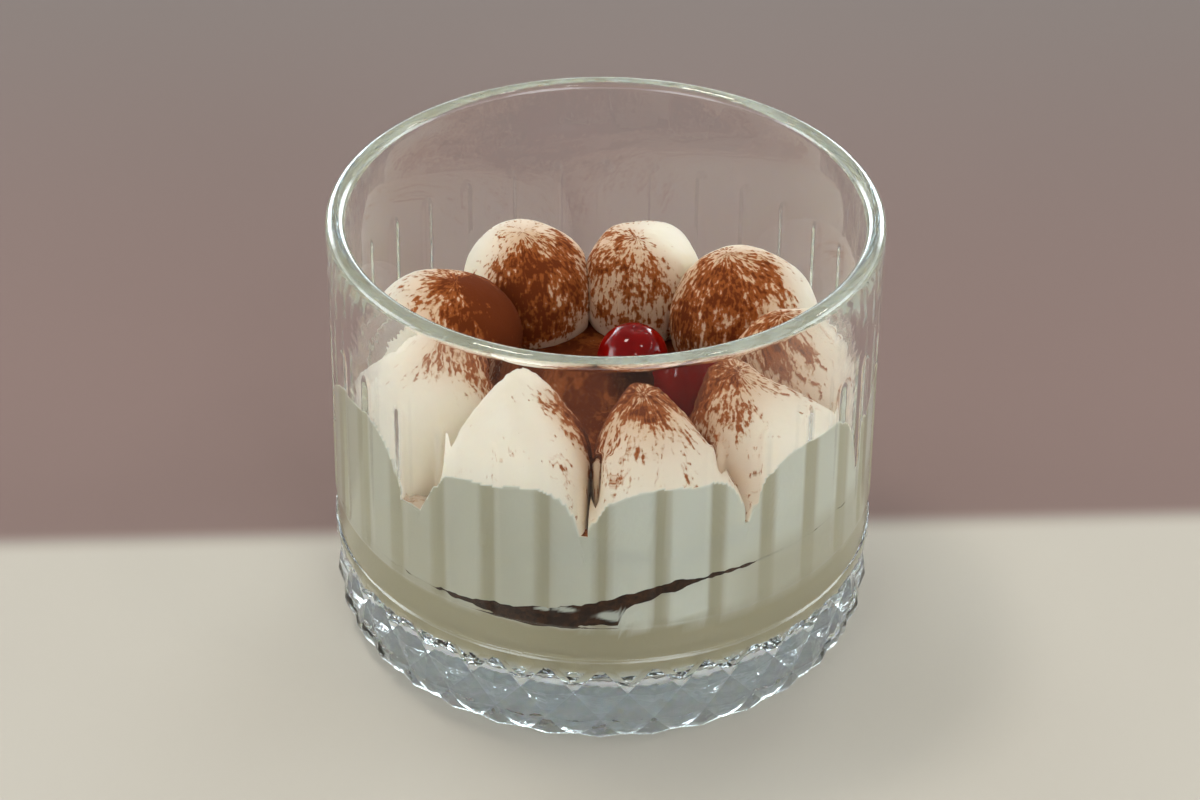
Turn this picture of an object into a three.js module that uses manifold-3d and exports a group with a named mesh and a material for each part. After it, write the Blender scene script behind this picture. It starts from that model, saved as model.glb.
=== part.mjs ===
// Tiramisu in a short cut-glass tumbler: mascarpone cream above and below a thin coffee-soaked
// layer, a ring of nine piped dollops pressed against the glass, and two cherries in the middle.
// Millimetres, +Z up. The origin is the middle of the flat foot, and -Y is the front.

import * as THREE from 'three';
import { mergeVertices } from 'three/addons/utils/BufferGeometryUtils.js';
import Module from 'manifold-3d';

const manifold = await Module();
manifold.setup();

// Tumbler
const glassHeight = 75;
const rimRadius = 45;
const baseRadius = 45.2;
const wallThickness = 3.2;
const floorHeight = 9;
const cavityFillet = 6;
const cornerRadius = 5.1;
const footRecess = { radius: 36, slope: 1, depth: 0.6 };

// The cuts round the tumbler: narrow upright grooves above, then a plain sunken belt, and a
// lattice of raised diamonds below
const cutCount = 32;
const groove = { bottom: 25, top: 59, endLength: 2.8, depth: 0.6, halfShare: 1 / 6 };
const belt = { bottom: 18.4, top: 24.6, depth: 0.4, slope: 0.5 };
const diamond = { bottom: 0.5, height: 10.5, depth: 0.8 };
const latticeTop = diamond.bottom + 1.5 * diamond.height;
const latticeSteps = 6;

// Filling
const gap = 0.3;
const layerColumns = 48;
const creamTop = 36.6;
const creamSwell = { inside: 6, outside: 17, height: 0.3 };
const coffee = { leftHeight: 24.8, rightRise: 6.2, riseWidth: 8, thickness: 1, thickest: 4 };

// Dollops, clockwise from the back left. Each one has the compass angle of its middle, of its tip
// and of the crease to the next one, in degrees. Taper says how fast its top closes, press how
// hard it is pushed against the glass, and tilt how much its side towards the one before rises.
const dollops = [
  { angle: 114, tipAngle: 118.5, crease: 97, breadth: 21.6, height: 17.7, taper: 0.7, reach: 30.2,
    tipReach: 29.6, press: 0.2, tilt: 0 },
  { angle: 77.5, tipAngle: 78, crease: 59, breadth: 20.4, height: 17.2, taper: 0.44, reach: 29.8,
    tipReach: 25.8, press: 0.1, tilt: 0 },
  { angle: 39, tipAngle: 43, crease: 17.5, breadth: 23.8, height: 17.8, taper: 0.6, reach: 28.8,
    tipReach: 28.4, press: 0.15, tilt: 0 },
  { angle: -2, tipAngle: 1, crease: -22, breadth: 21.8, height: 17.8, taper: 0.56, reach: 31.8,
    tipReach: 29.1, press: 0.5, tilt: 0 },
  { angle: -40.5, tipAngle: -39.5, crease: -59, breadth: 19.4, height: 18, taper: 0.52, reach: 31.8,
    tipReach: 27.9, press: 0.9, tilt: 0 },
  { angle: -76, tipAngle: -75.5, crease: -93, breadth: 19.8, height: 18.4, taper: 0.52, reach: 31.2,
    tipReach: 24.6, press: 1, tilt: 0.08 },
  { angle: -112.5, tipAngle: -126, crease: -134.5, breadth: 20, height: 18.8, taper: 0.58, reach: 30.6,
    tipReach: 25.6, press: 0.9, tilt: 0.3 },
  { angle: -156, tipAngle: -160, crease: -180, breadth: 21.6, height: 17.8, taper: 0.58, reach: 31.8,
    tipReach: 29.9, press: 0.6, tilt: 0.1 },
  { angle: 152, tipAngle: 156, crease: 137, breadth: 21.6, height: 17.1, taper: 0.66, reach: 28.2,
    tipReach: 27.2, press: 0.15, tilt: 0 },
];
const dollopColumns = 24;
const dollopRows = [0, 0.12, 0.3, 0.5, 0.67, 0.8, 0.9, 0.97];
const dollopWaist = { height: 0.26, footShare: 0.88 };
const dollopHalfLength = 11;
const lengthenedByPress = 1.7;
const fullerByPress = 0.25;
const footSpreadByPress = 0.75;
const topRoundness = 2.2;
const topRoundedByPress = 1.4;
const pressedTaper = 0.52;
const squarerByPress = 2.4;
const touchDepth = 0.7;
const leanPower = 5;
const lumps = [
  { waves: 3, height: 0.025, turnedEach: 1.7, twist: 0 },
  { waves: 5, height: 0.015, turnedEach: 0, twist: 4 },
];

// Cherries
const cherryDiameter = 12.2;
const cherrySquash = 0.96;
const cherrySegments = { round: 18, upright: 11 };
const cherries = [
  { x: 4.8, y: 5.75 },
  { x: 14.2, y: -2.45 },
];

const innerRadius = rimRadius - wallThickness;
const fillingRadius = innerRadius - gap;
const degrees = Math.PI / 180;
const upright = new THREE.Vector3(0, 0, 1);

function polar(radius, angle, z) {
  return new THREE.Vector3(radius * Math.cos(angle), radius * Math.sin(angle), z);
}

function blend(value, low, high) {
  return THREE.MathUtils.smoothstep(value, low, high);
}

// A closed solid from rings of points, listed anticlockwise as seen from above. The first and
// last rings are single points, and each face between two rings is split along its shorter
// diagonal, so that the cut edges run from corner to corner.
function solidFromRings(rings) {
  const points = rings.flat();
  const triangles = [];
  let start = 0;
  for (let row = 0; row + 1 < rings.length; row += 1) {
    const lower = rings[row].length;
    const upper = rings[row + 1].length;
    const next = start + lower;
    for (let column = 0; column < Math.max(lower, upper); column += 1) {
      const a = start + (column % lower);
      const b = start + ((column + 1) % lower);
      const c = next + ((column + 1) % upper);
      const d = next + (column % upper);
      if (lower === 1) {
        triangles.push(a, c, d);
      } else if (upper === 1) {
        triangles.push(a, b, c);
      } else if (points[a].distanceTo(points[c]) <= points[b].distanceTo(points[d])) {
        triangles.push(a, b, c, a, c, d);
      } else {
        triangles.push(a, b, d, b, c, d);
      }
    }
    start = next;
  }
  const geometry = new THREE.BufferGeometry().setFromPoints(points);
  geometry.setIndex(triangles);
  return geometry;
}

function toManifold(geometry) {
  const bare = geometry.clone();
  bare.deleteAttribute('normal');
  bare.deleteAttribute('uv');
  const merged = mergeVertices(bare);
  return new manifold.Manifold(new manifold.Mesh({
    numProp: 3,
    vertProperties: new Float32Array(merged.attributes.position.array),
    triVerts: new Uint32Array(merged.index.array),
  }));
}

function fromManifold(solid) {
  const mesh = solid.getMesh();
  const geometry = new THREE.BufferGeometry();
  geometry.setAttribute('position', new THREE.BufferAttribute(mesh.vertProperties, 3));
  geometry.setIndex(Array.from(mesh.triVerts));
  return geometry;
}

// Radius of the uncut outside: a rounded corner over the foot, then a nearly straight wall
function outsideRadius(z) {
  if (z < cornerRadius) {
    const drop = cornerRadius - z;
    return baseRadius - cornerRadius + Math.sqrt(cornerRadius ** 2 - drop ** 2);
  }
  return THREE.MathUtils.lerp(baseRadius, rimRadius, blend(z, latticeTop, groove.top));
}

// How deep the upright grooves are; "across" runs from 0 in the middle of one to 1 in the next
function grooveDepth(across, z) {
  const offMiddle = Math.min(across, 1 - across) / groove.halfShare;
  const fromEnd = Math.min(z - groove.bottom, groove.top - z) / groove.endLength;
  const scoop = (1 - THREE.MathUtils.clamp(fromEnd, 0, 1)) ** 2;
  return groove.depth * Math.max(0, 1 - offMiddle ** 2 - scoop);
}

// How deep the diamonds' grooves are. Along a groove it is the full depth, and each diamond
// rises from there to its middle as a low pyramid. The topmost grooves end in a zigzag.
function diamondDepth(across, z) {
  const up = (z - diamond.bottom) / diamond.height - 0.5;
  const rising = across - 0.5 + up;
  const falling = across - 0.5 - up;
  const off = Math.max(Math.abs(rising - Math.round(rising)), Math.abs(falling - Math.round(falling)));
  const row = Math.round(rising) - Math.round(falling);
  const share = row > 1 ? Math.max(0, 4 * off - 1) : 2 * off;
  return diamond.depth * share;
}

// A ring of points round the glass, with the same shares across each cut
function ringOfCuts(shares, radiusAt, z) {
  const ring = [];
  for (let cut = 0; cut < cutCount; cut += 1) {
    for (const across of shares) {
      ring.push(polar(radiusAt(across), (cut + across) / cutCount * 2 * Math.PI, z));
    }
  }
  return ring;
}

function tumblerGeometry() {
  const even = [0, 0.25, 0.5, 0.75];
  const grooved = [0, groove.halfShare, 0.5, 1 - groove.halfShare];
  const plainRing = (radius, z) => ringOfCuts(even, () => radius, z);
  const rings = [[new THREE.Vector3(0, 0, footRecess.depth)]];
  rings.push(plainRing(footRecess.radius, footRecess.depth));
  rings.push(plainRing(footRecess.radius + footRecess.slope, 0));
  rings.push(plainRing(outsideRadius(0), 0));
  for (let step = 0; step <= latticeSteps; step += 1) {
    const z = THREE.MathUtils.lerp(diamond.bottom, latticeTop, step / latticeSteps);
    rings.push(ringOfCuts(even, (across) => outsideRadius(z) - diamondDepth(across, z), z));
  }
  rings.push(plainRing(outsideRadius(belt.bottom - belt.slope), belt.bottom - belt.slope));
  for (const z of [belt.bottom, belt.top]) {
    rings.push(plainRing(outsideRadius(z) - belt.depth, z));
  }
  const scoopRows = [0, 0.4, 1].map((share) => share * groove.endLength);
  const grooveRows = [
    ...scoopRows.map((past) => groove.bottom + past),
    ...scoopRows.reverse().map((past) => groove.top - past),
  ];
  for (const z of grooveRows) {
    rings.push(ringOfCuts(grooved, (across) => outsideRadius(z) - grooveDepth(across, z), z));
  }
  const lip = wallThickness / 2;
  for (const turn of [0, 45, 90, 135, 180]) {
    const radius = rimRadius - lip + lip * Math.cos(turn * degrees);
    rings.push(plainRing(radius, glassHeight - lip + lip * Math.sin(turn * degrees)));
  }
  for (const turn of [0, 30, 60, 90]) {
    const radius = innerRadius - cavityFillet + cavityFillet * Math.cos(turn * degrees);
    rings.push(plainRing(radius, floorHeight + cavityFillet - cavityFillet * Math.sin(turn * degrees)));
  }
  rings.push([new THREE.Vector3(0, 0, floorHeight)]);
  return solidFromRings(rings);
}

// Middle of the coffee layer: low on the left, a step higher on the right
function coffeeMiddle(x) {
  return coffee.leftHeight + coffee.rightRise * (1 + Math.tanh(x / coffee.riseWidth)) / 2;
}

// It is thickest where it shows at the front and thin elsewhere
function coffeeThickness(x, y) {
  const fromFront = (x / 15) ** 2 + ((y + innerRadius) / 17) ** 2;
  const thick = THREE.MathUtils.lerp(coffee.thickness, coffee.thickest, Math.exp(-fromFront));
  return thick + 0.3 * coffee.thickness * Math.sin(5 * Math.atan2(y, x));
}

const coffeeBottom = (x, y) => coffeeMiddle(x) - coffeeThickness(x, y) / 2;
const coffeeTop = (x, y) => coffeeMiddle(x) + coffeeThickness(x, y) / 2;

function cavityFloor(x, y) {
  const past = Math.max(0, Math.hypot(x, y) - (innerRadius - cavityFillet));
  const fillet = cavityFillet - gap;
  return floorHeight + gap + fillet - Math.sqrt(Math.max(0, fillet ** 2 - past ** 2));
}

// Dusted floor between the dollops, with shallow unevenness in its middle
function creamSurface(x, y) {
  const middle = 1 - blend(Math.hypot(x, y), creamSwell.inside, creamSwell.outside);
  return creamTop + middle * creamSwell.height * Math.sin(x / 2.6 + 1) * Math.cos(y / 3.1);
}

function layerGeometry(bottom, top, bottomRadii, topRadii) {
  const ringAt = (radius, height) => {
    const ring = [];
    for (let column = 0; column < layerColumns; column += 1) {
      const point = polar(radius, column / layerColumns * 2 * Math.PI, 0);
      ring.push(point.setZ(height(point.x, point.y)));
    }
    return ring;
  };
  const rings = [[new THREE.Vector3(0, 0, bottom(0, 0))]];
  for (const radius of bottomRadii) {
    rings.push(ringAt(radius, bottom));
  }
  for (const radius of [...topRadii].reverse()) {
    rings.push(ringAt(radius, top));
  }
  rings.push([new THREE.Vector3(0, 0, top(0, 0))]);
  return solidFromRings(rings);
}

// Share of the full breadth at a share of the height: full up to the waist, then closing to a
// soft point
function dollopOutline(share, roundness, taper) {
  const above = Math.max(0, (share - dollopWaist.height) / (1 - dollopWaist.height));
  return (1 - above ** roundness) ** taper;
}

// Keeps a point of a dollop inside the glass and on its own side of its neighbours
function pressedIn(point, creases) {
  for (const { angle, side } of creases) {
    const across = side * (point.y * Math.cos(angle) - point.x * Math.sin(angle));
    const push = side * Math.max(0, gap / 2 - across);
    point.x -= push * Math.sin(angle);
    point.y += push * Math.cos(angle);
  }
  const radius = Math.hypot(point.x, point.y);
  const kept = Math.min(1, fillingRadius / radius);
  return point.set(point.x * kept, point.y * kept, point.z);
}

function dollopLump(index, turn, share) {
  let lump = 1;
  for (const { waves, height, turnedEach, twist } of lumps) {
    lump += height * Math.sin(waves * turn + index * turnedEach + share * twist);
  }
  return lump;
}

// One ring of a dollop at a share of its height. The harder it is pressed, the longer, squarer and
// rounder at the top its side towards the glass is, and the more its foot spreads along the glass.
// Its foot is tucked in on the other side.
function dollopRing(index, share, creases) {
  const shape = dollops[index];
  const size = dollopOutline(share, topRoundness, shape.taper);
  const pressedRoundness = topRoundness + topRoundedByPress * shape.press;
  const pressedSize = dollopOutline(share, pressedRoundness, pressedTaper);
  const halfLength = dollopHalfLength + lengthenedByPress * shape.press;
  const pressedLength = Math.max(halfLength, innerRadius + touchDepth - shape.reach);
  const lean = share ** leanPower;
  const reach = THREE.MathUtils.lerp(shape.reach, shape.tipReach, lean);
  const outward = THREE.MathUtils.lerp(shape.angle, shape.tipAngle, lean) * degrees;
  const belowWaist = Math.max(0, 1 - share / dollopWaist.height) ** 2;
  const ring = [];
  for (let column = 0; column < dollopColumns; column += 1) {
    const turn = column / dollopColumns * 2 * Math.PI;
    const outer = Math.max(0, Math.cos(turn));
    const tuck = 1 - (1 - dollopWaist.footShare) * belowWaist * (1 - outer);
    const power = 2 + squarerByPress * shape.press * blend(outer, 0, 0.6);
    const square = (Math.abs(Math.cos(turn)) ** power + Math.abs(Math.sin(turn)) ** power) ** (-1 / power);
    const scale = tuck * square * dollopLump(index, turn, share);
    const length = (outer > 0 ? pressedLength : halfLength) * THREE.MathUtils.lerp(size, pressedSize, outer);
    const out = reach + length * scale * Math.cos(turn);
    const full = 1 + (fullerByPress + footSpreadByPress * (1 - share) ** 2) * shape.press * outer;
    const aside = shape.breadth / 2 * size * scale * full * Math.sin(turn);
    const z = creamTop + gap + share * (shape.height + shape.tilt * aside);
    const point = new THREE.Vector3(out, aside, z).applyAxisAngle(upright, outward);
    ring.push(pressedIn(point, creases));
  }
  return ring;
}

function dollopGeometry(index) {
  const { angle, tipAngle, crease, height, reach, tipReach } = dollops[index];
  const before = dollops[(index + dollops.length - 1) % dollops.length];
  const creases = [
    { angle: before.crease * degrees, side: -1 },
    { angle: crease * degrees, side: 1 },
  ];
  const foot = creamTop + gap;
  const rings = [[polar(reach, angle * degrees, foot)]];
  for (const share of dollopRows) {
    rings.push(dollopRing(index, share, creases));
  }
  rings.push([polar(tipReach, tipAngle * degrees, foot + height)]);
  return solidFromRings(rings);
}

function cherryGeometry({ x, y }, extra) {
  const radius = cherryDiameter / 2;
  const { round, upright: rows } = cherrySegments;
  const geometry = new THREE.SphereGeometry(radius + extra, round, rows);
  geometry.rotateX(Math.PI / 2);
  geometry.scale(1, 1, cherrySquash);
  geometry.translate(x, y, creamTop + gap + radius * cherrySquash);
  return geometry;
}

const finishes = {
  glass: { color: 0xdce6e2, roughness: 0.04, metalness: 0, transparent: true, opacity: 0.35 },
  cream: { color: 0xeee4d0, roughness: 0.6, metalness: 0 },
  coffee: { color: 0x3a1c0e, roughness: 0.7, metalness: 0 },
  cocoa: { color: 0xb98a63, roughness: 0.85, metalness: 0 },
  cherry: { color: 0x8a0a0e, roughness: 0.12, metalness: 0 },
};

const tiramisu = new THREE.Group();

function addNode(name, geometry, finish) {
  const mesh = new THREE.Mesh(geometry, new THREE.MeshStandardMaterial(finishes[finish]));
  mesh.name = name;
  tiramisu.add(mesh);
}

addNode('glass', tumblerGeometry(), 'glass');

const belowTop = (x, y) => coffeeBottom(x, y) - gap;
const aboveBottom = (x, y) => coffeeTop(x, y) + gap;
const layerRadii = [8, 16, 29, fillingRadius];
const filletRadii = [0.05, 0.4, 0.75, 1].map((share) => fillingRadius - cavityFillet * (1 - share));
addNode('cream_lower', layerGeometry(cavityFloor, belowTop, filletRadii, layerRadii), 'cream');
addNode('coffee_layer', layerGeometry(coffeeBottom, coffeeTop, layerRadii, layerRadii), 'coffee');
addNode('cream_upper', layerGeometry(aboveBottom, creamSurface, layerRadii, layerRadii), 'cocoa');

// The dollops give way round the cherries
const roomForCherries = cherries.map((cherry) => toManifold(cherryGeometry(cherry, gap)));
for (let index = 0; index < dollops.length; index += 1) {
  let dollop = toManifold(dollopGeometry(index));
  for (const room of roomForCherries) {
    dollop = dollop.subtract(room);
  }
  addNode(`dollop_${index + 1}`, fromManifold(dollop), 'cream');
}

for (let index = 0; index < cherries.length; index += 1) {
  addNode(`cherry_${index + 1}`, cherryGeometry(cherries[index], 0), 'cherry');
}

export default tiramisu;
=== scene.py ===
# Tiramisu in a short cut-glass tumbler: cream over and under a thin coffee layer, nine piped
# dollops under cocoa, and two cherries. Sizes are in millimetres until a piece is finished.
import math

import bmesh
import bpy
from mathutils import Matrix, Vector, noise


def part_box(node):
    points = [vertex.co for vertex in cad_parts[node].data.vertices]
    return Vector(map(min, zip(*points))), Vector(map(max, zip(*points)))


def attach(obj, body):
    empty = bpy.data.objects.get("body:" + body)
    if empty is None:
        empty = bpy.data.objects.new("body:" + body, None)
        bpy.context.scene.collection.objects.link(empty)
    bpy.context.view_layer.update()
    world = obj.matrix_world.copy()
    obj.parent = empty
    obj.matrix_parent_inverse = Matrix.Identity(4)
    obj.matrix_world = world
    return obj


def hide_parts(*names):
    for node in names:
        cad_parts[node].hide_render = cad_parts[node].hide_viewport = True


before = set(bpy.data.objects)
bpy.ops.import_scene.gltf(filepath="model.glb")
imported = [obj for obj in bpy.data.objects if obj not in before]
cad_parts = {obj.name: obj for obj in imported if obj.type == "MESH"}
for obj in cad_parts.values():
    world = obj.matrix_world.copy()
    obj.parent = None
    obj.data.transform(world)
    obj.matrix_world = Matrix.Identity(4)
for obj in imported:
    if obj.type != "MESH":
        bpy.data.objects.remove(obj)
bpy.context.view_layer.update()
millimetre = 0.001
mergeDistance = 0.0004
creaseDegrees = 60


def smoothStep(value, low, high):
    share = min(1.0, max(0.0, (value - low) / (high - low)))
    return share * share * (3 - 2 * share)


def mix(first, second, share):
    return first + (second - first) * share


def evenly(low, high, count):
    return [mix(low, high, step / count) for step in range(count + 1)]


def arc(centreRadius, centreZ, radius, startDegrees, endDegrees, steps):
    points = []
    for degrees in evenly(startDegrees, endDegrees, steps):
        turn = math.radians(degrees)
        points.append((centreRadius + radius * math.cos(turn), centreZ + radius * math.sin(turn)))
    return points


# A profile of (radius, height) points turned once round the upright axis: one sector is spun,
# then copied round, which is much quicker than one long spin
def spinProfile(points, sectors, stepsEach):
    bm = bmesh.new()
    line = [bm.verts.new((radius, 0, z)) for radius, z in points]
    edges = [bm.edges.new(pair) for pair in zip(line, line[1:])]
    turn = {"cent": (0, 0, 0), "axis": (0, 0, 1)}
    bmesh.ops.spin(bm, geom=line + edges, angle=math.tau / sectors, steps=stepsEach, **turn)
    sector = bm.verts[:] + bm.edges[:] + bm.faces[:]
    theRest = math.tau * (sectors - 1) / sectors
    bmesh.ops.spin(bm, geom=sector, angle=theRest, steps=sectors - 1, use_duplicate=True, **turn)
    closeSeams(bm)
    return bm


def closeSeams(bm):
    bmesh.ops.remove_doubles(bm, verts=bm.verts, dist=mergeDistance)
    bmesh.ops.recalc_face_normals(bm, faces=bm.faces)


# Makes an object of the shape, which then stands for a node of the frame
def finishPiece(name, node, bm, material, sharpDegrees=None):
    bmesh.ops.scale(bm, vec=(millimetre,) * 3, verts=bm.verts)
    for face in bm.faces:
        face.smooth = True
    if sharpDegrees:
        for edge in bm.edges:
            edge.smooth = edge.calc_face_angle(0) < math.radians(sharpDegrees)
    mesh = bpy.data.meshes.new(name)
    bm.to_mesh(mesh)
    bm.free()
    mesh.materials.append(material)
    piece = bpy.data.objects.new(name, mesh)
    bpy.context.scene.collection.objects.link(piece)
    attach(piece, "root")
    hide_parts(node)
    print(name, len(mesh.polygons), "faces")


# Materials are made of short calls: each adds a node and gives back the socket to link from
def startMaterial(name):
    material = bpy.data.materials.new(name)
    material.use_nodes = True
    return material, material.node_tree, material.node_tree.nodes["Principled BSDF"]


# Inputs come as plain values or as sockets
def setInputs(tree, node, inputs):
    for key, value in inputs.items():
        if isinstance(value, bpy.types.NodeSocket):
            tree.links.new(value, node.inputs[key])
        else:
            node.inputs[key].default_value = value


def addNode(tree, kind, inputs=None, **settings):
    node = tree.nodes.new("ShaderNode" + kind)
    for key, value in settings.items():
        setattr(node, key, value)
    setInputs(tree, node, inputs or {})
    return node


def objectPlace(tree):
    return addNode(tree, "TexCoord").outputs["Object"]


def attribute(tree, name, output="Fac"):
    return addNode(tree, "Attribute", attribute_name=name).outputs[output]


def noiseNode(tree, scale, detail=3, roughness=0.5, vector=None):
    inputs = {"Scale": scale, "Detail": detail, "Roughness": roughness}
    inputs["Vector"] = vector or objectPlace(tree)
    return addNode(tree, "TexNoise", inputs).outputs["Fac"]


def mathNode(tree, operation, first, second, clamp=False):
    inputs = {0: first, 1: second}
    return addNode(tree, "Math", inputs, operation=operation, use_clamp=clamp).outputs[0]


def mapRange(tree, value, low, high, toLow=0.0, toHigh=1.0, kind="LINEAR"):
    inputs = {"Value": value, "From Min": low, "From Max": high, "To Min": toLow, "To Max": toHigh}
    return addNode(tree, "MapRange", inputs, interpolation_type=kind).outputs[0]


def mixColors(tree, factor, first, second):
    inputs = {"Factor": factor}
    for key, color in (("A", first), ("B", second)):
        inputs[key] = (*color, 1) if isinstance(color, tuple) else color
    return addNode(tree, "Mix", inputs, data_type="RGBA").outputs[2]


def colorRamp(tree, factor, stops):
    ramp = addNode(tree, "ValToRGB", {"Fac": factor})
    while len(ramp.color_ramp.elements) < len(stops):
        ramp.color_ramp.elements.new(0.5)
    for element, (position, color) in zip(ramp.color_ramp.elements, stops):
        element.position = position
        element.color = (*color, 1)
    return ramp.outputs["Color"]


def bumpNode(tree, height, strength, distance):
    inputs = {"Height": height, "Strength": strength, "Distance": distance}
    return addNode(tree, "Bump", inputs).outputs[0]


creamFinish = {
    "light": (0.90, 0.83, 0.69),
    "shade": (0.86, 0.76, 0.58),
    "pressed": (0.68, 0.67, 0.555),  # painted shade where it is squeezed against the glass
    "shaded": (0.41, 0.358, 0.23),  # deeper painted shade of the same, behind a groove or the belt
    "litUnder": (0.97, 0.96, 0.94),  # below the coffee: a paler, cooler copy, painted light for what shows through the base
    "toneScale": 180,
    "whipScale": 700,
    "roughness": 0.42,
    "specular": 0.12,
    "softness": 0.25,
    "softRadius": (1.0, 0.8, 0.5),
    "softScale": 0.0016,
}
cocoaFinish = {
    "thin": (0.66, 0.38, 0.20),
    "middle": (0.33, 0.090, 0.020),
    "dark": (0.15, 0.030, 0.006),
    "film": 0.7,  # how far thin cocoa tints the cream between the flecks
    "filmRange": (-0.1, 0.5),
    "coverRange": (0.28, 0.56),
    "grainScale": 2600,
    "roughness": 0.95,
    "relief": 0.6,
    "reliefHeight": 0.00025,
}
# The patterns the cocoa lies in, as scale and strength: blotches and grains by place, streaks and
# flecks that run down from each tip
cocoaPatterns = {
    "blotches": (210, 1.3),
    "grains": (1300, 0.9),
    "streaks": ((1, 1, 1), 1.0),
    "flecks": ((3.2, 3.2, 2.6), 1.6),
}


# Whipped cream. The pieces carry three attributes: how much cocoa lies on them, how much painted
# shade they get where pressed against the glass, and a place for the streaks that run down from each
# tip
def dustedCream(name, light, shade):
    material, tree, shader = startMaterial(name)
    color = mixColors(tree, noiseNode(tree, creamFinish["toneScale"]), light, shade)
    # Painted shade where the cream touches the glass: pale grey at 0.5, deepest at 1
    pressed = mathNode(tree, "MULTIPLY", attribute(tree, "pressed"), 2)
    color = mixColors(tree, pressed, color, creamFinish["pressed"])
    shaded = mathNode(tree, "SUBTRACT", pressed, 1, True)
    color = mixColors(tree, shaded, color, creamFinish["shaded"])
    level = attribute(tree, "dust")
    film = mapRange(tree, level, *cocoaFinish["filmRange"], 0, cocoaFinish["film"])
    color = mixColors(tree, film, color, cocoaFinish["thin"])
    position = objectPlace(tree)
    streak = attribute(tree, "streak", "Vector")
    for scale, strength in cocoaPatterns.values():
        place, scales = (streak, scale) if isinstance(scale, tuple) else (position, (scale,) * 3)
        vector = addNode(tree, "VectorMath", {0: place, 1: scales}, operation="MULTIPLY").outputs[0]
        centred = mathNode(tree, "SUBTRACT", noiseNode(tree, 1, 2, vector=vector), 0.5)
        level = mathNode(tree, "ADD", level, mathNode(tree, "MULTIPLY", centred, strength))
    powder = colorRamp(tree, level, [
        (0.38, cocoaFinish["thin"]),
        (0.62, cocoaFinish["middle"]),
        (0.75, cocoaFinish["middle"]),
        (1.0, cocoaFinish["dark"]),
    ])
    cover = mapRange(tree, level, *cocoaFinish["coverRange"])
    grain = mathNode(tree, "ADD", noiseNode(tree, cocoaFinish["grainScale"], 3, 0.7), 0.6)
    whipped = mathNode(tree, "MULTIPLY", noiseNode(tree, creamFinish["whipScale"], 3, 0.55), 0.5)
    height = mathNode(tree, "ADD", mathNode(tree, "MULTIPLY", grain, cover), whipped)
    setInputs(tree, shader, {
        "Base Color": mixColors(tree, cover, color, powder),
        "Roughness": mapRange(tree, cover, 0, 1, creamFinish["roughness"], cocoaFinish["roughness"]),
        "Subsurface Weight": mapRange(tree, cover, 0, 1, creamFinish["softness"], 0),
        "Subsurface Radius": creamFinish["softRadius"],
        "Subsurface Scale": creamFinish["softScale"],
        "Specular IOR Level": creamFinish["specular"],
        "Normal": bumpNode(tree, height, cocoaFinish["relief"], cocoaFinish["reliefHeight"]),
    })
    return material


coffeeFinish = {
    "dark": (0.020, 0.008, 0.003),
    "wet": (0.075, 0.027, 0.008),
    "smear": (0.50, 0.50, 0.42),
    "crumbScale": 620,
    "roughness": 0.7,
    "specular": 0.2,
    "relief": 0.7,
    "reliefHeight": 0.0004,
}


def soakedCoffee():
    material, tree, shader = startMaterial("soakedCoffee")
    crumbs = noiseNode(tree, coffeeFinish["crumbScale"], 4, 0.65)
    color = colorRamp(tree, crumbs, [
        (0.40, coffeeFinish["dark"]),
        (0.68, coffeeFinish["wet"]),
        (0.82, cocoaFinish["thin"]),
    ])
    setInputs(tree, shader, {
        "Base Color": mixColors(tree, attribute(tree, "smear"), color, coffeeFinish["smear"]),
        "Roughness": coffeeFinish["roughness"],
        "Specular IOR Level": coffeeFinish["specular"],
        "Normal": bumpNode(tree, crumbs, coffeeFinish["relief"], coffeeFinish["reliefHeight"]),
    })
    return material


cherryFinish = {
    "flesh": (0.29, 0.003, 0.002),
    "deep": (0.13, 0.001, 0.001),
    "toneScale": 150,
    "skinScale": 420,
    "roughness": 0.3,
    "softness": 0.25,
    "softRadius": (1.0, 0.1, 0.05),
    "softScale": 0.003,
    "syrup": 0.6,
    "syrupRoughness": 0.03,
    "relief": 0.12,
    "reliefHeight": 0.0004,
}


def glossyCherry():
    material, tree, shader = startMaterial("glossyCherry")
    tone = noiseNode(tree, cherryFinish["toneScale"])
    color = colorRamp(tree, tone, [(0.3, cherryFinish["deep"]), (0.7, cherryFinish["flesh"])])
    skin = noiseNode(tree, cherryFinish["skinScale"], 2)
    setInputs(tree, shader, {
        "Base Color": color,
        "Roughness": cherryFinish["roughness"],
        "Specular IOR Level": 0.0,
        "Subsurface Weight": cherryFinish["softness"],
        "Subsurface Radius": cherryFinish["softRadius"],
        "Subsurface Scale": cherryFinish["softScale"],
        "Coat Weight": cherryFinish["syrup"],
        "Coat Roughness": cherryFinish["syrupRoughness"],
        "Normal": bumpNode(tree, skin, cherryFinish["relief"], cherryFinish["reliefHeight"]),
    })
    return material


tumbler = {
    "height": 75,
    "rimRadius": 45,
    "baseRadius": 45.2,
    "wall": 3.2,
    "floor": 9,
    "fillet": 6,
    "corner": 5.1,
    "recessRadius": 36,
    "recessDepth": 0.6,
    "cuts": 32,
    "columnsPerCut": 24,
    "endRows": 10,  # in each end of a groove
    "lipSteps": 14,
    "filletSteps": 12,
}
groove = {"bottom": 25, "top": 59, "end": 2.8, "depth": 0.3, "halfColumns": 4, "fading": 1.6}
belt = {"bottom": 18.4, "top": 24.6, "depth": 0.4, "slope": 0.5}
diamond = {"bottom": 0.5, "height": 10.5, "rows": 1.5, "depth": 0.8, "fade": 0.1, "edgeDegrees": 7}
latticeTop = diamond["bottom"] + diamond["rows"] * diamond["height"]
innerRadius = tumbler["rimRadius"] - tumbler["wall"]

glassFinish = {
    "tint": (0.75, 0.93, 0.97),
    "tintDensity": 6,  # per metre
    "ior": 1.5,
    "smudgeScale": 60,
    "smudgeRange": (0.45, 0.8),
    "smudgeRoughness": 0.05,
    "rippleScale": 240,
    "rippleHeight": 0.001,
    "wallRipple": 0.03,
    "latticeRipple": 0.55,
}


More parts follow.
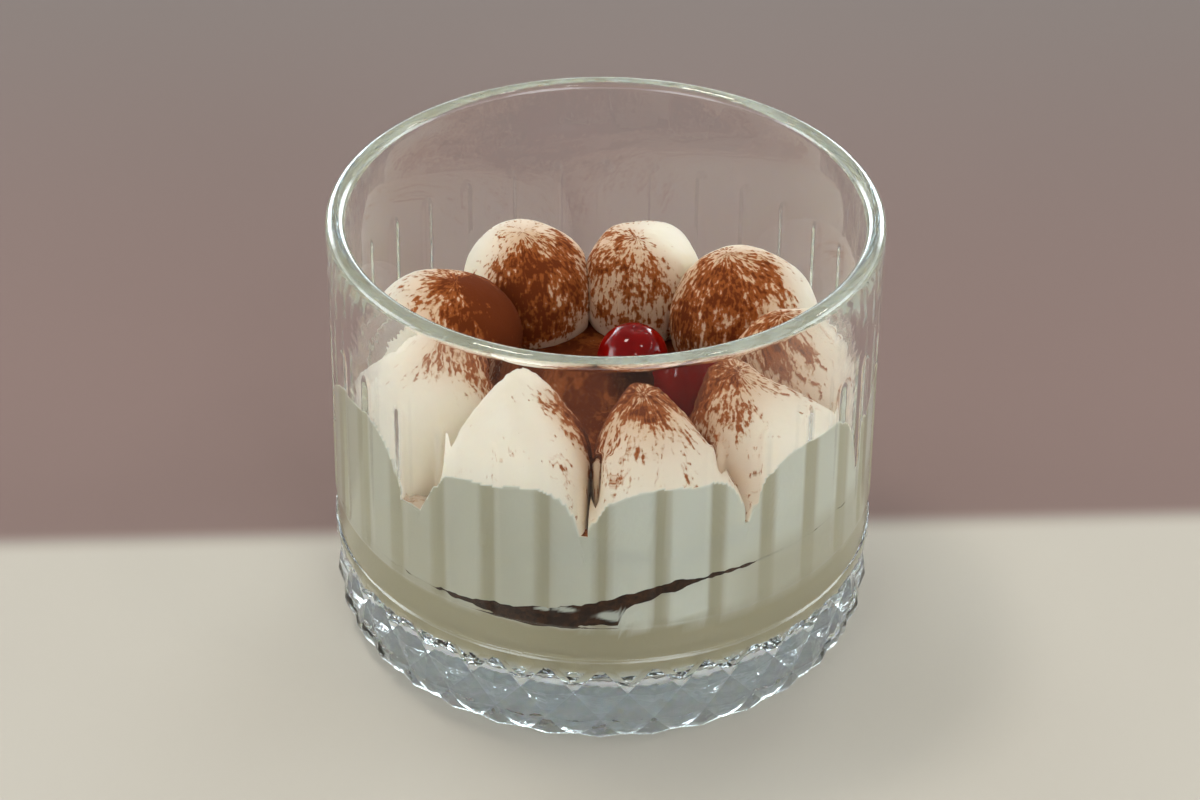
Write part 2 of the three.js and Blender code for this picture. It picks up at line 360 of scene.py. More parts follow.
def clearGlass():
    material, tree, shader = startMaterial("clearGlass")
    smudge = noiseNode(tree, glassFinish["smudgeScale"], 2)
    roughness = mapRange(
        tree, smudge, *glassFinish["smudgeRange"], 0, glassFinish["smudgeRoughness"])
    height = addNode(tree, "SeparateXYZ", {"Vector": objectPlace(tree)}).outputs["Z"]
    uneven = mapRange(
        tree, height, latticeTop * millimetre, belt["bottom"] * millimetre,
        glassFinish["latticeRipple"], glassFinish["wallRipple"])
    ripple = noiseNode(tree, glassFinish["rippleScale"], 2)
    setInputs(tree, shader, {
        "Base Color": (1, 1, 1, 1),
        "Roughness": roughness,
        "IOR": glassFinish["ior"],
        "Transmission Weight": 1.0,
        "Normal": bumpNode(tree, ripple, uneven, glassFinish["rippleHeight"]),
    })
    tint = {"Color": (*glassFinish["tint"], 1), "Density": glassFinish["tintDensity"]}
    absorption = addNode(tree, "VolumeAbsorption", tint).outputs[0]
    tree.links.new(absorption, tree.nodes["Material Output"].inputs["Volume"])
    return material


def outsideRadius(z):
    corner = tumbler["corner"]
    if z < corner:
        return tumbler["baseRadius"] - corner + math.sqrt(corner ** 2 - (corner - z) ** 2)
    up = smoothStep(z, latticeTop, groove["top"])
    straight = mix(tumbler["baseRadius"], tumbler["rimRadius"], up)
    fromBelow = smoothStep(z, belt["bottom"] - belt["slope"], belt["bottom"])
    sunken = fromBelow - smoothStep(z, belt["top"], groove["bottom"])
    return straight - belt["depth"] * sunken


# How deep the upright grooves are cut; across runs from 0 in one groove to 1 in the next
def grooveDepth(across, z):
    halfWidth = groove["halfColumns"] / tumbler["columnsPerCut"]
    offMiddle = min(across, 1 - across) / halfWidth
    fromEnd = min(z - groove["bottom"], groove["top"] - z) / groove["end"]
    scoop = (1 - min(1.0, max(0.0, fromEnd))) ** 2
    return groove["depth"] * max(0.0, 1 - offMiddle ** 2 - scoop) ** groove["fading"]


# Grooves that cross to leave low pyramids, with the topmost ones ending in a zigzag
def diamondDepth(across, z):
    up = (z - diamond["bottom"]) / diamond["height"] - 0.5
    rising = across - 0.5 + up
    falling = across - 0.5 - up
    nearRising = math.floor(rising + 0.5)
    nearFalling = math.floor(falling + 0.5)
    off = max(abs(rising - nearRising), abs(falling - nearFalling))
    topRow = nearRising - nearFalling > 1
    share = max(0.0, 4 * off - 1) if topRow else 2 * off
    fade = 1 - smoothStep(z, latticeTop, latticeTop + diamond["fade"])
    return diamond["depth"] * share * fade * smoothStep(z, 0, diamond["bottom"])


def tumblerProfile():
    recess = tumbler["recessRadius"]
    rise = tumbler["recessDepth"]
    points = [(0, rise), (12, rise), (24, rise), (recess - 0.4, rise), (recess, rise * 0.85)]
    points += [(recess + 0.6, rise * 0.15), (recess + 1, 0), (recess + 2.5, 0)]
    heights = [0, 0.04, 0.15, 0.3]
    latticeRows = round(diamond["rows"] * tumbler["columnsPerCut"])
    heights += evenly(diamond["bottom"], latticeTop, latticeRows)
    heights += [latticeTop + diamond["fade"]]
    heights += [belt["bottom"] - belt["slope"], belt["bottom"] - belt["slope"] / 3]
    heights += [belt["bottom"], belt["bottom"] + 0.4]
    heights += [belt["top"] - 0.4, belt["top"], mix(belt["top"], groove["bottom"], 0.6)]
    heights += evenly(groove["bottom"], groove["bottom"] + groove["end"], tumbler["endRows"])
    heights += [38, 50]
    heights += evenly(groove["top"] - groove["end"], groove["top"], tumbler["endRows"])
    heights += [groove["top"] + 0.4, 68]
    points += [(outsideRadius(z), z) for z in heights]
    lip = tumbler["wall"] / 2
    lipMiddle = tumbler["rimRadius"] - lip, tumbler["height"] - lip
    points += arc(*lipMiddle, lip, 0, 180, tumbler["lipSteps"])
    points += [(innerRadius, z) for z in (58, 46, 34)]
    fillet = tumbler["fillet"]
    filletMiddle = innerRadius - fillet, tumbler["floor"] + fillet
    points += arc(*filletMiddle, fillet, 0, -90, tumbler["filletSteps"])
    points += [(16, tumbler["floor"]), (0, tumbler["floor"])]
    return points


def buildTumbler(material):
    bm = spinProfile(tumblerProfile(), tumbler["cuts"], tumbler["columnsPerCut"])
    footEdge = tumbler["baseRadius"] - tumbler["corner"] + 0.1
    outside = innerRadius + 0.5
    for vert in bm.verts:
        radius = math.hypot(vert.co.x, vert.co.y)
        underFloor = vert.co.z < tumbler["floor"] - 0.5 and radius > footEdge
        if radius < outside and not underFloor:
            continue
        turn = math.atan2(vert.co.y, vert.co.x) / math.tau * tumbler["cuts"]
        cutDepth = grooveDepth if vert.co.z > latticeTop + 0.5 else diamondDepth
        depth = cutDepth(turn - math.floor(turn), vert.co.z)
        vert.co.x *= 1 - depth / radius
        vert.co.y *= 1 - depth / radius
    lattice = []
    for face in bm.faces:
        middle = face.calc_center_median()
        if middle.z < latticeTop + 2 * diamond["fade"] and math.hypot(*middle.xy) > outside:
            lattice.append(face)
    bmesh.ops.triangulate(bm, faces=lattice, quad_method="SHORT_EDGE", ngon_method="BEAUTY")
    sharpest = math.radians(diamond["edgeDegrees"])
    for edge in bm.edges:
        low = max(vert.co.z for vert in edge.verts) < latticeTop + diamond["fade"] / 2
        pastFoot = min(math.hypot(*vert.co.xy) for vert in edge.verts) > footEdge
        edge.smooth = not (low and pastFoot and edge.calc_face_angle(0) > sharpest)
    finishPiece("tumbler", "glass", bm, material)


filling = {
    "reach": 0.15,  # how far what fills the glass goes into its wall
    "atWall": 0.1,  # what is this near to its edge counts as pressed against the wall
    "intoCoffee": 0.1,
    "coffeeReach": 0.02,
    "creamTop": 36.6,
    "swell": 0.35,
    "swellFades": (6, 17),
    "swellWaves": (2.6, 3.1),
    "crust": 0.18,
    "crustLength": 1.9,
    "sectors": 20,
    "stepsEach": 21,
    "rings": [0, 0.2, 0.4, 0.6, 0.75, 0.85, 0.92, 0.97, 1],
    "topRings": evenly(0, 1, 90),
    "wallRows": 8,
    "coffeeWallRows": 16,
}
coffeeLayer = {
    "leftHeight": 24.8,
    "rightRise": 7,
    "riseMiddle": 3,
    "riseWidth": 8,
    "wave": 0.35,
    "waveLength": 7,
    "thickness": 0.9,
    "thickest": 4,
    "thickPlace": -5,  # in front, a little to the left
    "thickWidth": 13,
    "thickReach": 17,
    "ragged": 1.1,
    "raggedLength": 2.4,
    "crumbs": 0.6,
    "cover": 1.3,  # cream that hides its edge at the sides
    "coverRight": (16, 24),
    "coverLeft": (14, 28),
    "tailHeight": 24.1,
    "tailStart": (-5, -2),
    "tailEnd": (2.4, 3.6),
    "tailReach": (2, 8),
}
# Cream that the front dollops squeezed up along the glass between them
squeezed = {
    "inside": 36.5,
    "full": 40,
    "halfDegrees": 9,
    "dust": 0.16,  # cocoa on it for each millimetre that it rises
    "gaps": [
        {"angle": -94, "rise": 4.8},
        {"angle": -59, "rise": 3.6},
        {"angle": -134, "rise": 2},
    ],
}
# Cream smeared over the coffee on the glass, by x and height
smears = [
    {"x": 2.6, "z": 26, "halfWidth": 3.6, "halfHeight": 0.95},
    {"x": -5.5, "z": 27, "halfWidth": 1.6, "halfHeight": 0.5},
    {"x": -9, "z": 26.6, "halfWidth": 1.3, "halfHeight": 0.4},
]
fillingRadius = innerRadius + filling["reach"]


def onWall(x, y):
    return math.hypot(x, y) > fillingRadius - filling["atWall"]


def coffeeMiddle(x, y):
    climb = math.tanh((x - coffeeLayer["riseMiddle"]) / coffeeLayer["riseWidth"])
    step = coffeeLayer["rightRise"] * (1 + climb) / 2
    length = coffeeLayer["waveLength"]
    wave = coffeeLayer["wave"] * noise.noise(Vector((x / length, y / length, 3.1)))
    return coffeeLayer["leftHeight"] + step + wave


def coffeeThickness(x, y):
    aside = (x - coffeeLayer["thickPlace"]) / coffeeLayer["thickWidth"]
    behind = (y + innerRadius) / coffeeLayer["thickReach"]
    share = math.exp(-aside ** 2 - behind ** 2)
    thick = mix(coffeeLayer["thickness"], coffeeLayer["thickest"], share)
    length = coffeeLayer["raggedLength"]
    ragged = coffeeLayer["ragged"] * noise.noise(Vector((x / length, y / length, 7.7)))
    crumbs = coffeeLayer["crumbs"] * noise.noise(Vector((x, y, 1.3)))
    covered = smoothStep(x, *coffeeLayer["coverRight"]) + smoothStep(-x, *coffeeLayer["coverLeft"])
    return max(0.0, thick + ragged + crumbs - coffeeLayer["cover"] * covered)


# Its underside, with a thin tail that runs on to the right at the front
def coffeeBottom(x, y):
    low = coffeeMiddle(x, y) - coffeeThickness(x, y) / 2
    tail = 1 - smoothStep(y + innerRadius, *coffeeLayer["tailReach"])
    tail *= smoothStep(x, *coffeeLayer["tailStart"]) * (1 - smoothStep(x, *coffeeLayer["tailEnd"]))
    return mix(low, min(low, coffeeLayer["tailHeight"]), tail)


def coffeeTop(x, y):
    return coffeeMiddle(x, y) + coffeeThickness(x, y) / 2


# Both creams go a little way into the coffee, so that no gap shows
def lowerCreamTop(x, y):
    return coffeeBottom(x, y) + filling["intoCoffee"]


def upperCreamBottom(x, y):
    return coffeeTop(x, y) - filling["intoCoffee"]


def cavityFloor(x, y):
    fillet = tumbler["fillet"] + filling["reach"]
    past = max(0.0, math.hypot(x, y) - innerRadius + tumbler["fillet"])
    return tumbler["floor"] + tumbler["fillet"] - math.sqrt(max(0.0, fillet ** 2 - past ** 2))


# How far that cream rises here, for each of the gaps
def squeezedUp(x, y):
    atGlass = smoothStep(math.hypot(x, y), squeezed["inside"], squeezed["full"])
    angle = math.degrees(math.atan2(y, x))
    rises = []
    for gap in squeezed["gaps"]:
        away = (angle - gap["angle"]) / squeezed["halfDegrees"]
        rises.append(atGlass * gap["rise"] * math.exp(-away ** 2))
    return rises


def creamSurface(x, y):
    middle = 1 - smoothStep(math.hypot(x, y), *filling["swellFades"])
    acrossWave, backWave = filling["swellWaves"]
    swell = filling["swell"] * math.sin(x / acrossWave + 1) * math.cos(y / backWave)
    length = filling["crustLength"]
    crust = filling["crust"] * noise.noise(Vector((x / length, y / length, 0.4)))
    return filling["creamTop"] + middle * swell + crust + sum(squeezedUp(x, y))


# How the painted shade on cream against the glass is laid out
pressedLook = {
    "panel": 0.54,
    "stripe": 0.92,
    "stripeEdges": (0.08, 0.22),  # as shares of the way from one groove to the next
    "stripeSpread": 0.085,  # the grooves stand before the cream, so their shade looks wider apart
    "spreadEnds": (0.17, 0.36),  # as shares of a turn from the front
    "underBelt": (2, 1),
    "shadeLeft": 0.22,
    "leftEnds": (-8, 30),
    "shadeRight": 0.25,
    "rightEnds": (16, 26),
    "lowEnds": (30, 36),
    "uneven": 0.1,
}


# Painted shade on cream pressed against the glass: 0 off it, 0.5 where it is palest, and 1
# behind the belt and the grooves, which throw the light aside. The painted shade is deeper on the
# left, and low down on the right
def pressedTone(point):
    if not onWall(point.x, point.y):
        return 0.0
    look = pressedLook
    aside = math.atan2(point.x, -point.y) / math.tau
    spread = 1 - look["stripeSpread"] * (1 - smoothStep(abs(aside), *look["spreadEnds"]))
    turn = aside * spread * tumbler["cuts"]
    # Painted shade, deeper on the left and low down on the right, and uneven from panel to panel
    deeperShade = look["shadeLeft"] * smoothStep(-point.x, *look["leftEnds"])
    deeperShade += look["uneven"] * noise.noise(Vector((math.floor(turn) * 1.7, 3.3, 0)))
    lowDown = 1 - smoothStep(point.z, *look["lowEnds"])
    deeperShade += look["shadeRight"] * smoothStep(point.x, *look["rightEnds"]) * lowDown
    offGroove = smoothStep(abs(turn - round(turn)), *look["stripeEdges"])
    aboveBelt = smoothStep(point.z, *(belt["top"] - below for below in look["underBelt"]))
    return mix(1.0, mix(look["stripe"], look["panel"] + deeperShade, offGroove), aboveBelt)


def smearAt(point):
    if not onWall(point.x, point.y) or point.y > 0:
        return 0.0
    most = 0.0
    for spot in smears:
        aside = (point.x - spot["x"]) / spot["halfWidth"]
        above = (point.z - spot["z"]) / spot["halfHeight"]
        most = max(most, 1 - smoothStep(math.hypot(aside, above), 0.8, 1.2))
    return most


# A disc of filling between two uneven surfaces, out to just inside the glass wall
def buildLayer(node, material, bottomAt, topAt, radius, rings, wallRows, dustAt=None):
    points = [(share * radius, 0) for share in rings]
    points += [(radius, share) for share in evenly(0, 1, wallRows)[1:-1]]
    points += [(share * radius, 1) for share in reversed(rings)]
    bm = spinProfile(points, filling["sectors"], filling["stepsEach"])
    dust = bm.verts.layers.float.new("dust")
    pressed = bm.verts.layers.float.new("pressed")
    smear = bm.verts.layers.float.new("smear")
    for vert in bm.verts:
        x, y, share = vert.co
        vert.co.z = mix(bottomAt(x, y), topAt(x, y), share)
        vert[dust] = dustAt(x, y, share) if dustAt else dusting["bare"]
        # Painted shade where the filling touches the glass
        vert[pressed] = pressedTone(vert.co)
        vert[smear] = smearAt(vert.co)
    finishPiece(node + "_fill", node, bm, material, creaseDegrees)


def floorDust(x, y, share):
    if share < 0.99 or onWall(x, y):
        return dusting["bare"]
    reached = 1 - smoothStep(math.hypot(x, y), *dusting["floorEdge"])
    return max(2 * reached - 1, squeezed["dust"] * max(squeezedUp(x, y)))


# The dollops, clockwise from the back left. The angles are in degrees from the right round by the
# back: of the middle, of the tip, and of the crease to the next dollop. Press is how hard a dollop
# is pushed against the glass, and tilt how much its side towards the one before rises
dollops = [
    {"angle": 114, "tipAngle": 118.5, "crease": 97, "breadth": 21.6, "height": 17.7, "taper": 0.7,
     "reach": 30.2, "tipReach": 29.6, "press": 0.2, "tilt": 0},
    {"angle": 77.5, "tipAngle": 78, "crease": 59, "breadth": 20.4, "height": 17.2, "taper": 0.44,
     "reach": 29.8, "tipReach": 25.8, "press": 0.1, "tilt": 0},
    {"angle": 39, "tipAngle": 43, "crease": 17.5, "breadth": 23.8, "height": 17.8, "taper": 0.6,
     "reach": 28.8, "tipReach": 28.4, "press": 0.15, "tilt": 0},
    {"angle": -2, "tipAngle": 1, "crease": -22, "breadth": 21.8, "height": 17.8, "taper": 0.56,
     "reach": 31.8, "tipReach": 29.1, "press": 0.5, "tilt": 0},
    {"angle": -40.5, "tipAngle": -39.5, "crease": -59, "breadth": 19.4, "height": 18, "taper": 0.52,
     "reach": 31.8, "tipReach": 27.9, "press": 0.9, "tilt": 0},
    {"angle": -76, "tipAngle": -75.5, "crease": -93, "breadth": 19.8, "height": 18.4, "taper": 0.52,
     "reach": 31.2, "tipReach": 24.6, "press": 1, "tilt": 0.08},
    {"angle": -112.5, "tipAngle": -126, "crease": -134.5, "breadth": 20, "height": 18.8, "taper": 0.58,
     "reach": 30.6, "tipReach": 25.6, "press": 0.9, "tilt": 0.3},
    {"angle": -156, "tipAngle": -160, "crease": -180, "breadth": 21.6, "height": 17.8, "taper": 0.58,
     "reach": 31.8, "tipReach": 29.9, "press": 0.6, "tilt": 0.1},
    {"angle": 152, "tipAngle": 156, "crease": 137, "breadth": 21.6, "height": 17.1, "taper": 0.66,
     "reach": 28.2, "tipReach": 27.2, "press": 0.15, "tilt": 0},
]
dollopShape = {
    "halfLength": 11,
    "lengthenedByPress": 1.7,
    "fullerByPress": 0.25,
    "footSpreadByPress": 0.75,
    "squarerByPress": 2.4,
    "roundness": 2.2,
    "roundedByPress": 1.4,
    "pressedTaper": 0.52,
    "touch": 0.7,
    "waist": 0.26,
    "footShare": 0.88,
    "sunk": 0.3,
    "crown": 0.6,
    "lean": 5,
    "threeLobes": 0.025,
    "fiveLobes": 0.015,
    "lump": 0.3,
    "lumpLength": 5.5,
    "pit": 0.06,
    "pitLength": 1.3,
    "overlap": 0.04,
    "sectors": 10,
    "stepsEach": 16,
    "rows": 72,
    "rowCrowding": 1.6,  # the rows stand closer together near the tip
}


# Share of the full breadth at a share of the height, closing to a soft point
def dollopOutline(share, roundness, taper):
    waist = dollopShape["waist"]
    above = max(0.0, (share - waist) / (1 - waist))
    return max(0.0, 1 - above ** roundness) ** taper


# Keeps a point inside the glass and on its own side of its neighbours
def pressIn(point, creases):
    for angle, side in creases:
        across = side * (point.y * math.cos(angle) - point.x * math.sin(angle))
        push = side * max(0.0, -dollopShape["overlap"] - across)
        point.x -= push * math.sin(angle)
        point.y += push * math.cos(angle)
    radius = math.hypot(point.x, point.y)
    if radius > fillingRadius:
        point.x *= fillingRadius / radius
        point.y *= fillingRadius / radius


# Turns a point of a plain upright round into the same point of the dollop: its x and y come as a
# place in a circle of radius 1, and its z as a share of the height
def shapeDollop(point, shape, index):
    turn = math.atan2(point.y, point.x)
    inCircle = math.hypot(point.x, point.y)
    share = point.z
    press = shape["press"]
    outer = max(0.0, math.cos(turn))
    size = dollopOutline(share, dollopShape["roundness"], shape["taper"])
    roundness = dollopShape["roundness"] + dollopShape["roundedByPress"] * press
    outSize = mix(size, dollopOutline(share, roundness, dollopShape["pressedTaper"]), outer)
    halfLength = dollopShape["halfLength"] + dollopShape["lengthenedByPress"] * press
    if outer > 0:
        halfLength = max(halfLength, innerRadius + dollopShape["touch"] - shape["reach"])
    belowWaist = max(0.0, 1 - share / dollopShape["waist"]) ** 2
    tuck = 1 - (1 - dollopShape["footShare"]) * belowWaist * (1 - outer)
    power = 2 + dollopShape["squarerByPress"] * press * smoothStep(outer, 0, 0.6)
    square = (abs(math.cos(turn)) ** power + abs(math.sin(turn)) ** power) ** (-1 / power)
    lump = 1 + dollopShape["threeLobes"] * math.sin(3 * turn + index * 1.7)
    lump += dollopShape["fiveLobes"] * math.sin(5 * turn + share * 4)
    scale = inCircle * tuck * square * lump
    footSpread = dollopShape["footSpreadByPress"] * (1 - share) ** 2
    full = 1 + (dollopShape["fullerByPress"] + footSpread) * press * outer
    lean = share ** dollopShape["lean"]
    out = mix(shape["reach"], shape["tipReach"], lean) + halfLength * outSize * scale * math.cos(turn)
    aside = shape["breadth"] / 2 * size * scale * full * math.sin(turn)
    outward = Matrix.Rotation(math.radians(mix(shape["angle"], shape["tipAngle"], lean)), 3, "Z")
    foot = filling["creamTop"] - dollopShape["sunk"]
    rise = shape["height"] + dollopShape["crown"] + shape["tilt"] * aside
    return outward @ Vector((out, aside, foot + share * rise))


dusting = {
    "middle": (0, 7),
    "full": 15,
    "none": 38,
    "least": -0.1,
    "most": 0.72,
    "bare": -1,
    "underside": -0.6,
    "floorEdge": (27, 34),
    "streaks": 5,
    "streakRows": 4,
    "streaksAtTip": 0.35,
}
# Where more or less cocoa than that fell, seen from above
cocoaPatches = [
    {"place": (-18, 11), "size": 9, "change": 0.85},
    {"place": (-30, 12), "size": 7, "change": 0.22},
    {"place": (-7, 19), "size": 7, "change": -0.12},
    {"place": (-22, 25), "size": 5, "change": -0.3},
    {"place": (-18, 20), "size": 5, "change": 0.02},
    {"place": (31, -15), "size": 5, "change": 0.35},
    {"place": (20, -33), "size": 4, "change": 0.3},
    {"place": (-2, -38), "size": 4, "change": 0.2},
    {"place": (9, -36), "size": 6, "change": 0.1},
    {"place": (13, 27), "size": 8, "change": -0.85},
    {"place": (3, 21), "size": 6, "change": -0.05},
    {"place": (11, 18), "size": 5, "change": 0.1},
    {"place": (20, 15), "size": 8, "change": 0.2},
    {"place": (36, 16), "size": 5, "change": -0.28},
    {"place": (29, 17), "size": 6, "change": 0.4},
    {"place": (30, -5), "size": 8, "change": 0.55},
    {"place": (6, -25), "size": 9, "change": 0.75},
    {"place": (19, -18), "size": 8, "change": 0.75},
    {"place": (-17, -21), "size": 7, "change": -0.4},
    {"place": (-4, -25), "size": 5, "change": 0.75},
    {"place": (-20, -10), "size": 6, "change": 0.5},
    {"place": (-27, -13), "size": 5, "change": 0.32},
]


# The cocoa was sieved over the middle, so that it thins out towards the glass
def dollopDust(point, normal):
    if onWall(point.x, point.y):
        return dusting["bare"]
    distance = (point.xy - Vector(dusting["middle"])).length
    thinned = smoothStep(distance, dusting["full"], dusting["none"])
    level = mix(dusting["most"], dusting["least"], thinned)
    for patch in cocoaPatches:
        away = (point.xy - Vector(patch["place"])).length / patch["size"]
        level += patch["change"] * math.exp(-away ** 2)
    return level + dusting["underside"] * (1 - smoothStep(normal.z, -0.4, 0.2))


def buildDollop(index, material):
    shape = dollops[index]
    rows = evenly(0, 1, dollopShape["rows"])
    heights = [1 - (1 - row) ** dollopShape["rowCrowding"] for row in rows]
    points = [(0, 0), (0.3, 0), (0.6, 0)] + [(1, share) for share in heights[:-1]] + [(0, 1)]
    bm = spinProfile(points, dollopShape["sectors"], dollopShape["stepsEach"])
    creases = [(math.radians(dollops[index - 1]["crease"]), -1), (math.radians(shape["crease"]), 1)]
    streak = bm.verts.layers.float_vector.new("streak")
    for vert in bm.verts:
        breadth = dollopOutline(vert.co.z, dollopShape["roundness"], shape["taper"])
        aside = vert.co.xy * dusting["streaks"] * mix(dusting["streaksAtTip"], 1, breadth)
        vert[streak] = (*aside, dusting["streakRows"] * vert.co.z + 10 * index)
        vert.co = shapeDollop(vert.co, shape, index)
    closeSeams(bm)
    bm.normal_update()
    for vert in bm.verts:
        broad = noise.noise(vert.co / dollopShape["lumpLength"] + Vector((0, 0, 9 * index)))
        fine = noise.noise(vert.co / dollopShape["pitLength"])
        vert.co += vert.normal * (dollopShape["lump"] * broad + dollopShape["pit"] * fine)
        pressIn(vert.co, creases)
    bm.normal_update()
    dust = bm.verts.layers.float.new("dust")
    pressed = bm.verts.layers.float.new("pressed")
    for vert in bm.verts:
        vert[dust] = dollopDust(vert.co, vert.normal)
        # Painted shade where the dollop touches the glass
        vert[pressed] = pressedTone(vert.co)
    name = f"dollop_{index + 1}"
    finishPiece(name + "_cream", name, bm, material, creaseDegrees)


cherryShape = {
    "columns": 64,
    "rows": 40,
    "share": 0.995,
    "squash": 0.96,
    "dimple": 0.45,
    "dimplePlace": (0.6, 0.3),
    "dimpleSpread": 1.6,
    "uneven": 0.12,
    "unevenLength": 4,
}


def buildCherry(index, material):
    name = f"cherry_{index}"
    low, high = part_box(name)
    centre = (low + high) / 2 / millimetre
    radius = (high.x - low.x) / 2 / millimetre * cherryShape["share"]
    bm = bmesh.new()
    bmesh.ops.create_uvsphere(
        bm, u_segments=cherryShape["columns"], v_segments=cherryShape["rows"], radius=radius)
    for vert in bm.verts:
        vert.co.z *= cherryShape["squash"]
        if vert.co.z > 0:
            fromStem = (vert.co.xy - Vector(cherryShape["dimplePlace"])).length
            sunk = math.exp(-fromStem ** 2 / cherryShape["dimpleSpread"])
            vert.co.z -= cherryShape["dimple"] * sunk
        bulge = noise.noise(vert.co / cherryShape["unevenLength"] + Vector((index * 5, 0, 0))) - 0.5
        vert.co += vert.co.normalized() * cherryShape["uneven"] * bulge
    bmesh.ops.translate(bm, vec=centre, verts=bm.verts)
    finishPiece(name + "_fruit", name, bm, material)


# Places of the camera, the floor and the lamps are in metres
camera = {
    "lens": 100,
    "sensor": 36,
    "place": (-0.00062, -0.459227, 0.350575),
    "tiltDegrees": 55.746,
    "rollDegrees": 0.624,
}


def placeCamera():
    data = bpy.data.cameras.new("camera")
    data.lens = camera["lens"]
    data.sensor_width = camera["sensor"]
    view = bpy.data.objects.new("camera", data)
    view.location = camera["place"]
    tilt = Matrix.Rotation(math.radians(camera["tiltDegrees"]), 3, "X")
    roll = Matrix.Rotation(math.radians(camera["rollDegrees"]), 3, "Z")
    view.rotation_euler = (tilt @ roll).to_euler()
    bpy.context.scene.collection.objects.link(view)
    bpy.context.scene.camera = view


# A pale table that turns mauve behind the dessert, and darker past where the camera sees in front
floorFinish = {
    "halfSize": 3,
    "table": (0.56, 0.52, 0.45),
    "edge": (0.25, 0.178, 0.160),
    "far": (0.225, 0.200, 0.187),
    "near": (0.17, 0.15, 0.13),
    "slant": 0.0588,
    "tableEnds": (0.011, 0.019),
    "farFade": (0.05, 0.3),
    "nearFade": (-0.06, -0.085),
    "roughness": 0.8,
}


def paleFloor():
    material, tree, shader = startMaterial("paleFloor")
    axes = addNode(tree, "SeparateXYZ", {"Vector": objectPlace(tree)})
    slant = mathNode(tree, "MULTIPLY", axes.outputs["X"], floorFinish["slant"])
    back = mathNode(tree, "SUBTRACT", axes.outputs["Y"], slant)
    behind = mapRange(tree, back, *floorFinish["tableEnds"], kind="SMOOTHSTEP")
    far = mapRange(tree, axes.outputs["Y"], *floorFinish["farFade"], kind="SMOOTHSTEP")
    near = mapRange(tree, axes.outputs["Y"], *floorFinish["nearFade"], kind="SMOOTHSTEP")
    color = mixColors(tree, far, floorFinish["edge"], floorFinish["far"])
    color = mixColors(tree, behind, floorFinish["table"], color)
    color = mixColors(tree, near, color, floorFinish["near"])
    setInputs(tree, shader, {
        "Base Color": color,
        "Roughness": floorFinish["roughness"],
        "Specular IOR Level": 0.0,
    })
    return material


def placeFloor():
    bm = bmesh.new()
    bmesh.ops.create_grid(bm, x_segments=1, y_segments=1, size=floorFinish["halfSize"])
    mesh = bpy.data.meshes.new("floor")
    bm.to_mesh(mesh)
    bm.free()
    mesh.materials.append(paleFloor())
    floor = bpy.data.objects.new("floor", mesh)
    bpy.context.scene.collection.objects.link(floor)


# Four small lamps overhead, as directions from the dessert, a soft one above them, and a sky with
# bright cool windows all round it
lights = [
    {"name": "lampMain", "towards": (-0.27, 0.15, 0.95), "size": 0.18, "power": 2.0},
    {"name": "lampRight", "towards": (0.44, -0.22, 0.87), "size": 0.09, "power": 0.35},
    {"name": "lampSide", "towards": (0.75, 0.18, 0.63), "size": 0.09, "power": 0.35},
    {"name": "lampFront", "towards": (0.21, -0.65, 0.72), "size": 0.09, "power": 0.35},
    {"name": "softTop", "towards": (-0.1, 0.35, 0.93), "size": 0.8, "power": 1.3},
]
lampDistance = 1.1
lampColor = (1, 0.95, 0.88)
lightBounces = 24  # light runs a long way inside the glass wall
# The sky's colours, each with the height where it stands: 0 is level and 1 straight up
sky = [
    {"height": 0.2, "color": (1.85, 1.95, 2.0)},
    {"height": 0.42, "color": (0.34, 0.32, 0.305)},
    {"height": 0.85, "color": (0.27, 0.25, 0.235)},
]
windowLight = {"color": (0.86, 0.95, 1), "innerDegrees": 9, "outerDegrees": 20}
windows = [
    {"towards": (0.42, -0.85, 0.25), "strength": 5},
    {"towards": (-0.55, -0.8, 0.15), "strength": 5},
    {"towards": (-0.97, 0.05, 0.16), "strength": 7},
    {"towards": (0.97, 0.05, 0.16), "strength": 6},
    {"towards": (-0.5, 0.85, 0.14), "strength": 9},
    {"towards": (0.45, 0.88, 0.14), "strength": 9},
]


def placeLights():
    for light in lights:
        data = bpy.data.lights.new(light["name"], "AREA")
        data.size = light["size"]
        data.energy = light["power"]
        data.color = lampColor
        lamp = bpy.data.objects.new(light["name"], data)
        towards = Vector(light["towards"]).normalized()
        lamp.location = towards * lampDistance
        lamp.rotation_euler = towards.to_track_quat("Z", "Y").to_euler()
        lamp.visible_glossy = light["name"] != "softTop"
        bpy.context.scene.collection.objects.link(lamp)
    for name in ("max_bounces", "transmission_bounces", "glossy_bounces"):
        setattr(bpy.context.scene.cycles, name, lightBounces)


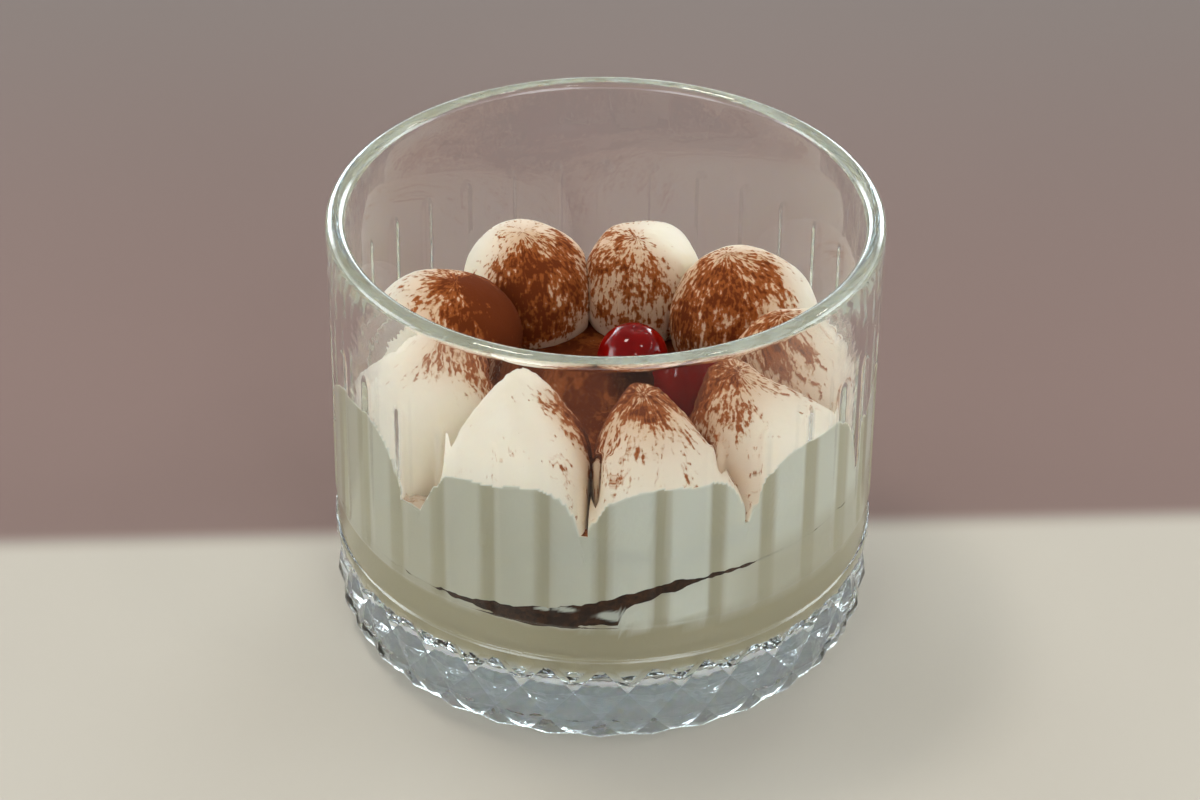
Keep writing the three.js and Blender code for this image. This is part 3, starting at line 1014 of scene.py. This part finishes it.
def placeSky():
    world = bpy.data.worlds.new("studio")
    world.use_nodes = True
    tree = world.node_tree
    direction = addNode(tree, "TexCoord").outputs["Generated"]
    height = addNode(tree, "SeparateXYZ", {"Vector": direction}).outputs["Z"]
    skyColor = colorRamp(tree, height, [(band["height"], band["color"]) for band in sky])
    outer = math.cos(math.radians(windowLight["outerDegrees"]))
    inner = math.cos(math.radians(windowLight["innerDegrees"]))
    glow = 0.0
    for window in windows:
        directions = {0: direction, 1: Vector(window["towards"]).normalized()}
        facing = addNode(tree, "VectorMath", directions, operation="DOT_PRODUCT").outputs["Value"]
        near = mapRange(tree, facing, outer, inner, 0, window["strength"], "SMOOTHSTEP")
        glow = mathNode(tree, "ADD", near, glow)
    skyPart = addNode(tree, "Background", {"Color": skyColor})
    windowPart = addNode(tree, "Background", {"Color": (*windowLight["color"], 1), "Strength": glow})
    both = addNode(tree, "AddShader", {0: skyPart.outputs[0], 1: windowPart.outputs[0]})
    tree.links.new(both.outputs[0], tree.nodes["World Output"].inputs["Surface"])
    bpy.context.scene.world = world
    bpy.context.scene.view_settings.view_transform = "Standard"


placeCamera()
placeFloor()
placeLights()
placeSky()
print("camera, floor and lights placed")

buildTumbler(clearGlass())
print("tumbler made")

cream = dustedCream("cream", creamFinish["light"], creamFinish["shade"])
# A paler, cooler copy of the cream for the lower layer: painted light for what shows through the base
litCreamBelow = dustedCream("litCreamBelow", creamFinish["litUnder"], creamFinish["litUnder"])
rings = filling["rings"]
buildLayer(
    "cream_lower", litCreamBelow, cavityFloor, lowerCreamTop, fillingRadius, rings,
    filling["wallRows"])
buildLayer(
    "coffee_layer", soakedCoffee(), coffeeBottom, coffeeTop,
    fillingRadius + filling["coffeeReach"], rings, filling["coffeeWallRows"])
buildLayer(
    "cream_upper", cream, upperCreamBottom, creamSurface, fillingRadius,
    filling["topRings"], filling["wallRows"], floorDust)
print("layers made")

for index in range(len(dollops)):
    buildDollop(index, cream)
print("dollops made")

cherryMaterial = glossyCherry()
for index in (1, 2):
    buildCherry(index, cherryMaterial)
print("cherries made")
